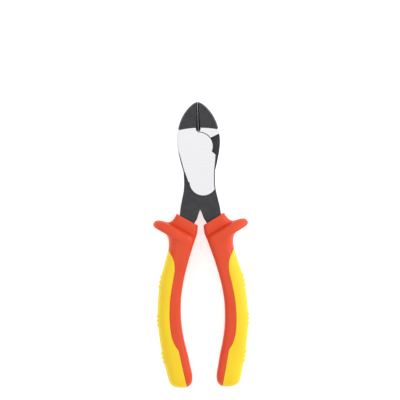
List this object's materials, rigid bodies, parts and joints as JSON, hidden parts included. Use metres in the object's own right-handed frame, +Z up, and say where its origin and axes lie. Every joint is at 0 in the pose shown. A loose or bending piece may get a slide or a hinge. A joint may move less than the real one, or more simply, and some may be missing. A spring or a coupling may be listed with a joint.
{
  "type": "diagonal cutting pliers",
  "caption": "Insulated diagonal cutting pliers with lap-jointed forged jaws and curved handles that have finger guards and ribbed soft inserts.",
  "frame": {"origin": "on the pivot axis, at the ground flat on the underside of the head", "axes": "+Y towards the jaw tip, +X towards the right handle seen from above, +Z up through the joint; the pliers lie flat and closed"},
  "size_m": [0.0594, 0.18, 0.021],
  "materials": {
    "forged_steel": "black phosphate with ground bright flats on the head",
    "rivet_steel": "ground flush, satin",
    "sleeve_plastic": "moulded, matt",
    "red_grip": "moulded, satin",
    "yellow_insert": "soft moulded, fine matt grain"
  },
  "bodies": {
    "front_half": {"front_lever": "forged_steel", "pivot_rivet": "rivet_steel", "sleeve_right": "sleeve_plastic", "grip_right": "red_grip", "grip_insert_right": "yellow_insert"},
    "rear_half": {"rear_lever": "forged_steel", "sleeve_left": "sleeve_plastic", "grip_left": "red_grip", "grip_insert_left": "yellow_insert"}
  },
  "joints": [
    {"name": "pivot", "type": "hinge", "parent": "front_half", "child": "rear_half", "pos_m": [0, 0, 0.0055], "axis": [0, 0, -1], "range_deg": [0, 50]}
  ]
}
